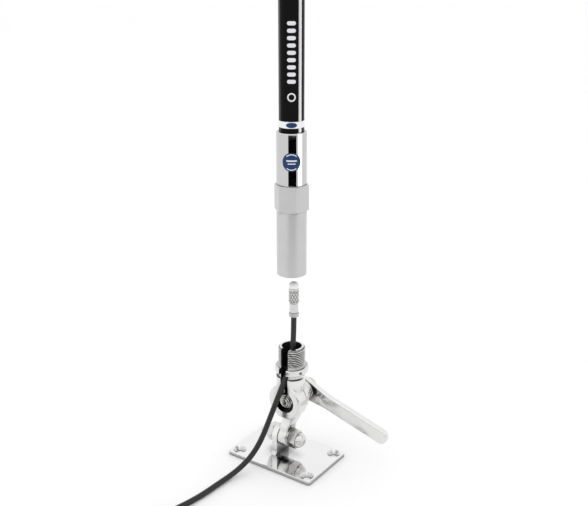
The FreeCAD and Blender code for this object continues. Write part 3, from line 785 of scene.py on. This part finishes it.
@dataclass
class SlottedStud:
    """Hollow threaded stud on its flange, split by the cable slot; sizes in millimetres."""

    bottom: float = 95.2
    flange_top: float = 101.0
    flange_radius: float = 15.8
    flange_round: float = 0.9
    top: float = 120.4
    crest: float = 12.65
    thread_depth: float = 1.05
    pitch: float = 1.814
    bore: float = 9.4
    slot_half: float = 4.0
    columns: int = 132
    thread_rows: int = 108
    crest_share: float = 0.14
    flank_share: float = 0.72
    run_out: float = 1.6
    top_chamfer: float = 1.3
    grub_angle: float = -24.0
    grub_radius: float = 1.65
    grub_start: float = 8.0
    grub_length: float = 9.0
    grub_sides: int = 40

    def thread(self, height: float, angle: float) -> float:
        """The outer radius of the thread.

        Args:
            height: Height above the origin.
            angle: Angle round the stud, in radians.

        Returns:
            The radius.
        """
        turns = (height - self.flange_top) / self.pitch - angle / (2.0 * math.pi)
        wave = saw(turns)
        groove = min(1.0, max(0.0, (wave - self.crest_share) / self.flank_share))
        fade = min(1.0, max(0.0, (height - self.flange_top - 0.6) / self.run_out))
        chamfer = max(0.0, height - (self.top - self.top_chamfer))
        return min(self.crest - self.thread_depth * groove * fade, self.crest - chamfer * 0.9)

    def rows(self) -> list[tuple[float, float]]:
        """Heights of the outer rows, each with its plain radius, or 0 where the thread gives it."""
        high = self.flange_top
        edge = self.flange_round
        turns = [math.radians(22.5 * step) for step in range(5)]
        rows = [(self.bottom + edge * (1.0 - math.cos(turn)),
                 self.flange_radius - edge * (1.0 - math.sin(turn))) for turn in turns]
        rows += [(high - edge * (1.0 - math.sin(turn)), self.flange_radius - edge * (1.0 - math.cos(turn)))
                 for turn in turns]
        rows += [(high + 0.001, self.crest + 0.35), (high + 0.25, self.crest)]
        start = high + 0.3
        rows += [(start + (self.top - start) * step / self.thread_rows, 0.0)
                 for step in range(self.thread_rows + 1)]
        return rows

    def build(self) -> None:
        """Make the stud in place of its plain CAD solid."""
        rows = self.rows()
        count = len(rows)
        points = []
        for column in range(self.columns):
            part = column / (self.columns - 1)
            coarse = math.radians(-90.0 + 360.0 * part)
            points += [self.spot(plain or self.thread(height, coarse), part, height)
                       for height, plain in rows]
            points += [self.spot(self.bore, part, height) for height, _ in reversed(rows)]
        faces = grid_faces(self.columns, 2 * count, False, True)
        for start in (0, (self.columns - 1) * 2 * count):
            for row in range(count - 1):
                faces.append((start + row, start + row + 1, start + 2 * count - 2 - row,
                              start + 2 * count - 1 - row))
        stud = add_object("slotted_thread_stud", (points, faces), TURNED_STEEL, 40.0)
        stud.data.materials.append(THREAD_GROOVE_PAINTED_SHADE.make())
        stud.data.materials.append(BORE_AND_SLOT_PAINTED_SHADE.make())
        for face in stud.data.polygons:
            reach = math.hypot(face.center.x - STUD_X * MM, face.center.y) / MM
            # Painted shade: faces in the thread's groove take the dark finish.
            if face.center.z > (self.flange_top + 0.8) * MM and self.bore + 0.5 < reach < self.crest - 0.6:
                face.material_index = 1 if abs(face.normal.z) < 0.95 and self.is_groove(face) else 0
            # Painted shade: the bore and the slot's flat walls take the near-black finish.
            if reach < self.bore + 0.05 or not self.is_groove(face) and abs(face.normal.x) > 0.9:
                face.material_index = 2
        self.drill_grub(stud)
        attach(stud, "head")
        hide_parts("threaded_stud")
        LOG.info("stud with %d points", len(stud.data.vertices))

    def drill_grub(self, stud: Piece) -> None:
        """Cut the grub screw's hole into the flange.

        Args:
            stud: The stud.
        """
        turn = math.radians(self.grub_angle)
        outward = Vector((math.cos(turn), math.sin(turn), 0.0))
        middle = (self.bottom + self.flange_top) / 2
        place = stand(outward, mm(STUD_X, 0.0, middle) + outward * self.grub_start * MM)
        sides = self.grub_sides
        points = []
        for height in (0.0, self.grub_length):
            for side in range(sides):
                angle = 2.0 * math.pi * side / sides
                points.append(place @ mm(self.grub_radius * math.cos(angle),
                                         self.grub_radius * math.sin(angle), height))
        faces = [(side, (side + 1) % sides, sides + (side + 1) % sides, sides + side)
                 for side in range(sides)]
        faces += [tuple(range(sides - 1, -1, -1)), tuple(range(sides, 2 * sides))]
        cutter = add_object("drill_cutter", (points, faces), TURNED_STEEL)
        hole = stud.modifiers.new("hole", "BOOLEAN")
        hole.operation = "DIFFERENCE"
        hole.solver = "EXACT"
        hole.object = cutter
        bpy.context.view_layer.update()
        drilled = bpy.data.meshes.new_from_object(stud.evaluated_get(bpy.context.evaluated_depsgraph_get()))
        stud.modifiers.remove(hole)
        stud.data = drilled
        shade(drilled, 35.0)
        bpy.data.objects.remove(cutter)

    def is_groove(self, face: bpy.types.MeshPolygon) -> bool:
        """Whether a face lies in the thread's groove rather than on a wall of the slot."""
        return abs(face.center.x - STUD_X * MM) > (self.slot_half + 0.01) * MM or face.center.y > 0.0

    def spot(self, radius: float, part: float, height: float) -> Vector:
        """A point between the slot's two flat walls.

        Args:
            radius: Distance from the stud's axis.
            part: 0 at one wall of the slot, 1 at the other.
            height: Height above the origin.

        Returns:
            The point, in metres.
        """
        gap = math.asin(self.slot_half / radius)
        start = -math.pi / 2 + gap
        angle = start + (2.0 * math.pi - 2.0 * gap) * part
        return mm(STUD_X + radius * math.cos(angle), radius * math.sin(angle), height)


@dataclass
class RatchetHead:
    """The cast head and the fasteners of the upper pivot, from the CAD, with the threaded stud."""

    stud: SlottedStud = field(default_factory=SlottedStud)

    def build(self) -> None:
        """Dress the head's nodes and make the stud."""
        dress(CAST_STEEL, "stud_head")
        dress(FASTENER_STEEL, "clamp_bolt", "clamp_nut", "lever_washer", "stud_set_screw")
        dress(SPRING_STEEL, "spring_washers")
        self.stud.build()


@dataclass
class ClampLever:
    """Flat cast lever with softened edges and a round boss; sizes in millimetres."""

    pivot_z: float = 66.0
    front: float = 20.4
    back: float = 26.2
    droop: float = 16.0
    reach: float = 95.5
    root_radius: float = 12.5
    tip_radius: float = 7.2
    flare: float = 25.5
    flare_round: float = 16.0
    edge: float = 1.1
    boss_radius: float = 9.4
    boss_front: float = 13.95

    def outline(self) -> list[Vector]:
        """The lever's outline in its own plane, counter-clockwise.

        Returns:
            Points as (along, across, 0), in millimetres.
        """
        root = self.root_radius
        tip = self.tip_radius
        corners = [(-root, -root, root - 2.0), (self.flare, -tip, self.flare_round),
                   (self.reach, -tip, tip - 0.1), (self.reach, tip, tip - 0.1),
                   (self.flare, tip, self.flare_round), (-root, root, root - 2.0)]
        path = []
        count = len(corners)
        for index, (x, y, radius) in enumerate(corners):
            here = Vector((x, y, 0.0))
            back = (Vector((*corners[index - 1][:2], 0.0)) - here).normalized()
            ahead = (Vector((*corners[(index + 1) % count][:2], 0.0)) - here).normalized()
            half = back.angle(ahead) / 2
            centre = here + (back + ahead).normalized() * (radius / math.sin(half))
            enter = here + back * (radius / math.tan(half)) - centre
            leave = here + ahead * (radius / math.tan(half)) - centre
            steps = 14
            sweep = enter.angle(leave)
            for step in range(steps + 1):
                part = step / steps
                arm = enter * math.sin((1.0 - part) * sweep) + leave * math.sin(part * sweep)
                arm /= math.sin(sweep)
                path.append(centre + arm)
        return path

    def plate(self, place: Matrix) -> Shape:
        """The flat plate with rounded edges.

        Args:
            place: Where the plate goes, in metres.

        Returns:
            Points and faces.
        """
        path = self.outline()
        count = len(path)
        normals = []
        for index, here in enumerate(path):
            along = (path[(index + 1) % count] - path[index - 1]).normalized()
            normals.append(Vector((along.y, -along.x, 0.0)))
        rows = []
        for step in range(6):
            angle = math.radians(90.0 * step / 5)
            rows.append((self.edge * (1.0 - math.sin(angle)), self.edge * (1.0 - math.cos(angle))))
        thick = self.back - self.front
        rows += [(inset, thick - depth) for inset, depth in reversed(rows)]
        points = []
        for here, normal in zip(path, normals):
            for inset, depth in rows:
                spot = here - normal * inset
                points.append(place @ mm(spot.x, spot.y, depth))
        faces = grid_faces(count, len(rows), True, False)
        faces.append(tuple(index * len(rows) for index in range(count)))
        faces.append(tuple(index * len(rows) + len(rows) - 1 for index in reversed(range(count))))
        return points, faces

    def build(self) -> None:
        """Make the lever in place of its CAD solid."""
        lie = Matrix.Translation(mm(STUD_X, self.back, self.pivot_z))
        lie @= Matrix.Rotation(math.radians(self.droop), 4, "Y")
        lie @= Matrix.Rotation(math.radians(90.0), 4, "X")
        plate = self.plate(lie)
        rim = self.boss_radius
        length = self.front + 0.6 - self.boss_front
        profile = [(0.0, 0.05), (0.0, rim - 0.8), (0.25, rim - 0.25), (0.8, rim), (length - 1.4, rim),
                   (length - 0.9, rim + 0.25), (length - 0.6, rim + 1.0), (length, rim + 1.0), (length, 0.05)]
        rows = [(height, even(radius)) for height, radius in profile]
        boss = revolve(rows, 72, stand(ALONG_Y, mm(STUD_X, self.boss_front, self.pivot_z)))
        lever = add_object("cast_clamp_lever", joined(plate, boss), CAST_STEEL, 40.0)
        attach(lever, "lever")
        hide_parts("clamp_lever")
        LOG.info("lever with %d points", len(lever.data.vertices))


@dataclass
class PrintedPatch:
    """Flat print laid round a cylinder; sizes in millimetres."""

    name: str
    body: str
    slot: str
    finish: Finish
    radius: float
    height: float
    direction: float = FRONT

    def wrap(self, across: float, up: float) -> Vector:
        """A point of the flat print, laid on the cylinder, in metres."""
        angle = self.direction + across / self.radius
        return mm(STUD_X + self.radius * math.cos(angle), self.radius * math.sin(angle), self.height + up)

    def disc(self, radius: float, stretch: float = 1.0) -> Shape:
        """A filled disc or oval.

        Args:
            radius: Half its height.
            stretch: Its width over its height.

        Returns:
            Points and faces.
        """
        rings = 10
        sides = 56
        points = [self.wrap(0.0, 0.0)]
        for ring in range(1, rings + 1):
            for side in range(sides):
                angle = 2.0 * math.pi * side / sides
                reach = radius * ring / rings
                points.append(self.wrap(reach * stretch * math.cos(angle), reach * math.sin(angle)))
        faces: Faces = [(0, 1 + side, 1 + (side + 1) % sides) for side in range(sides)]
        faces += [tuple(index + 1 for index in face) for face in grid_faces(rings, sides, False, True)]
        return points, faces

    def arc(self, inner: float, outer: float, start: float, end: float) -> Shape:
        """A thick arc about the print's centre.

        Args:
            inner: Inner radius.
            outer: Outer radius.
            start: First angle, in degrees.
            end: Last angle, in degrees.

        Returns:
            Points and faces.
        """
        steps = 24
        points = []
        for step in range(steps + 1):
            angle = math.radians(start + (end - start) * step / steps)
            for radius in (inner, outer):
                points.append(self.wrap(radius * math.cos(angle), radius * math.sin(angle)))
        return points, grid_faces(steps + 1, 2, False, False)

    def bar(self, x: float, z: float, width: float, tall: float) -> Shape:
        """A bar with round ends.

        Args:
            x: Middle of the bar across.
            z: Middle of the bar up.
            width: Width across.
            tall: Height.

        Returns:
            Points and faces.
        """
        round_off = min(width, tall) / 2
        columns = 12
        rows = 13
        points = []
        for column in range(columns + 1):
            across = -1.0 + 2.0 * column / columns
            for row in range(rows):
                rise = -1.0 + 2.0 * row / (rows - 1)
                if width >= tall:
                    reach = width / 2 - round_off * (1.0 - math.sqrt(max(0.0, 1.0 - rise * rise)))
                    points.append(self.wrap(x + across * reach, z + rise * tall / 2))
                else:
                    reach = tall / 2 - round_off * (1.0 - math.sqrt(max(0.0, 1.0 - across * across)))
                    points.append(self.wrap(x + across * width / 2, z + rise * reach))
        return points, grid_faces(columns + 1, rows, False, False)

    def build(self, *shapes: Shape) -> Piece:
        """Make the print from its shapes and set it on its body.

        Args:
            shapes: The shapes that are printed.

        Returns:
            The piece.
        """
        piece = add_object(self.name, joined(*shapes), self.finish, 180.0)
        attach(piece, self.body)
        LOG.info("print %s with %d points", self.name, len(piece.data.vertices))
        return piece


@dataclass
class FerruleAndCollar:
    """The chrome ferrule with its round label, and the screw collar; sizes in millimetres."""

    radius: float = 13.4
    label_z: float = 299.0
    label_radius: float = 8.2

    def build(self) -> None:
        """Dress the ferrule and collar and print the label."""
        dress(BRIGHT_CHROME, "ferrule")
        dress(SATIN_CHROME, "coupling_collar")
        dress(SPRING_STEEL, "retaining_ring")
        ground = PrintedPatch("label_ground", "antenna", "label_blue", PRINT_BLUE, self.radius + 0.13,
                              self.label_z)
        piece = ground.build(ground.disc(self.label_radius))
        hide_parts("ferrule_label")
        ink = PrintedPatch("label_print", "antenna", "band_white", PRINT_WHITE, self.radius + 0.17,
                           self.label_z)
        rim = self.label_radius
        ink.build(ink.arc(rim - 1.9, rim - 1.1, 48.0, 132.0), ink.arc(rim - 1.9, rim - 1.1, 232.0, 308.0),
                  ink.bar(0.0, 1.2, 9.4, 1.3), ink.bar(0.0, -1.4, 7.0, 0.9))


@dataclass
class WhipPole:
    """The gloss pole with its wrap band, badge and printed bars; sizes in millimetres."""

    radius: float = 11.0
    band_z: float = 330.4
    bar_low: float = 367.0
    bar_pitch: float = 5.9
    bar_count: int = 9
    ring_z: float = 354.0

    def build(self) -> None:
        """Dress the pole and print its marks."""
        dress(POLE_BLACK, "pole")
        dress(CAP_BLACK, "pole_cap")
        dress(WRAP_WHITE, "pole_band")
        badge = PrintedPatch("band_badge", "antenna", "label_blue", PRINT_BLUE, self.radius + 0.28,
                             self.band_z)
        badge.build(badge.disc(2.3, 2.1))
        marks = PrintedPatch("pole_bars", "antenna", "band_white", PRINT_WHITE, self.radius + 0.03,
                             self.ring_z)
        bars = [marks.bar(0.0, self.bar_low - self.ring_z + self.bar_pitch * number, 7.4, 3.3)
                for number in range(self.bar_count)]
        marks.build(marks.arc(2.5, 3.7, 0.0, 360.0), *bars)


@dataclass
class AntennaInside:
    """The pieces closed in the pole, all from the CAD."""

    def build(self) -> None:
        """Dress the hidden pieces."""
        dress(PLUG_GREY, "pole_plug")
        dress(BRASS, "antenna_jack", "jack_nut", "radiator_sleeve", "radiator_rod")
        dress(BOARD_GREEN, "matching_board")
        dress(JACKET_BLACK, "inner_feed")
        dress(FOAM_WHITE, "foam_spacers")


@dataclass
class Studio:
    """Pale floor, white surround, soft lights and a low dark card for the chrome; metres and watts."""

    surround: float = 1.06
    floor_size: float = 60.0
    floor_cells: int = 20
    card_bearings: tuple[float, float] = (11.0, 72.0)
    card_distance: float = 0.88
    card_heights: tuple[float, float] = (0.004, 0.13)
    card_steps: int = 16

    def light(self, name: str, bearing: float, distance: float, height: float, width: float, tall: float,
              power: float, tip: float = 0.0, only: Sequence[str] = ()) -> None:
        """A soft area light that faces the object.

        Args:
            name: The light's name.
            bearing: Direction from the object, in degrees: 0 is -Y and 90 is +X.
            distance: Distance from the object, in metres.
            height: Height of its middle.
            width: Its width.
            tall: Its height.
            power: Its power in watts.
            tip: How far it looks down, in degrees.
            only: The CAD nodes that alone mirror it, or none for a light on everything.
        """
        data = bpy.data.lights.new(name, "AREA")
        data.shape = "RECTANGLE"
        data.size = width
        data.size_y = tall
        data.energy = power
        light = bpy.data.objects.new(name, data)
        spot = Matrix.Translation((0.0, -distance, height))
        light.matrix_world = swing(bearing) @ spot @ tip_down(tip)
        light.visible_camera = False
        light.visible_diffuse = not only
        bpy.context.scene.collection.objects.link(light)
        if only:
            lit = bpy.data.collections.new(name + "_lit")
            for node in only:
                lit.objects.link(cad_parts[node])
            light.light_linking.receiver_collection = lit
        LOG.info("light %s", name)

    def card(self) -> None:
        """A low dark card, curved round the object, that only reflections see."""
        start, end = self.card_bearings
        points = []
        for step in range(self.card_steps + 1):
            turn = math.radians(start + (end - start) * step / self.card_steps)
            out = Vector((math.sin(turn), -math.cos(turn), 0.0))
            points += [out * self.card_distance + UP * height for height in self.card_heights]
        faces = grid_faces(self.card_steps + 1, 2, False, False)
        card = add_object("front_card", (points, faces), CARD_BLACK)
        card.visible_camera = False
        card.visible_diffuse = False
        card.visible_shadow = False
        LOG.info("card at %.2f m", self.card_distance)

    def build(self) -> None:
        """Set up the surround, floor, lights and card."""
        world = bpy.data.worlds.new("studio_surround")
        world.use_nodes = True
        background = world.node_tree.nodes["Background"]
        background.inputs["Color"].default_value = (1.0, 1.0, 1.0, 1.0)
        background.inputs["Strength"].default_value = self.surround
        bpy.context.scene.world = world
        bpy.context.scene.view_settings.view_transform = "Standard"
        lines = self.floor_cells + 1
        marks = [self.floor_size * (step / self.floor_cells - 0.5) for step in range(lines)]
        points = [Vector((x, y, 0.0)) for x in marks for y in marks]
        floor = add_object("studio_floor", (points, grid_faces(lines, lines, False, False)), FLOOR_PALE)
        pole = ("pole", "pole_cap")
        self.light("ferrule_strip", 101.5, 0.9, 0.6, 0.50, 1.19, 5.0, only=("ferrule",))
        self.light("pole_strip", 116.0, 0.9, 0.75, 0.46, 1.5, 170.0, only=pole)
        self.light("left_strip", -90.0, 1.3, 0.7, 0.12, 1.4, 3.0, only=pole)
        self.light("overhead", 10.0, 0.5, 1.9, 1.6, 1.2, 2.4, 75.0)
        self.card()


def main() -> None:
    """Build everything, camera and lead first."""
    logging.basicConfig(level=logging.INFO, format="%(name)s: %(message)s")
    StudioCamera().build()
    top = LeadConnector("top", "top_nut_body", (8.0, 1.1, 150.5), (0.0, 0.0, 1.0)).build()
    end = LeadConnector("end", "end_nut_body", (84.0, -239.4, 4.9), (11.0, 3.8, 0.0)).build()
    CoaxialLead().build(top, end, CoilStraps().build())
    DeckFoot().build()
    RatchetHead().build()
    ClampLever().build()
    FerruleAndCollar().build()
    WhipPole().build()
    AntennaInside().build()
    Studio().build()


if __name__ == "__main__":
    main()
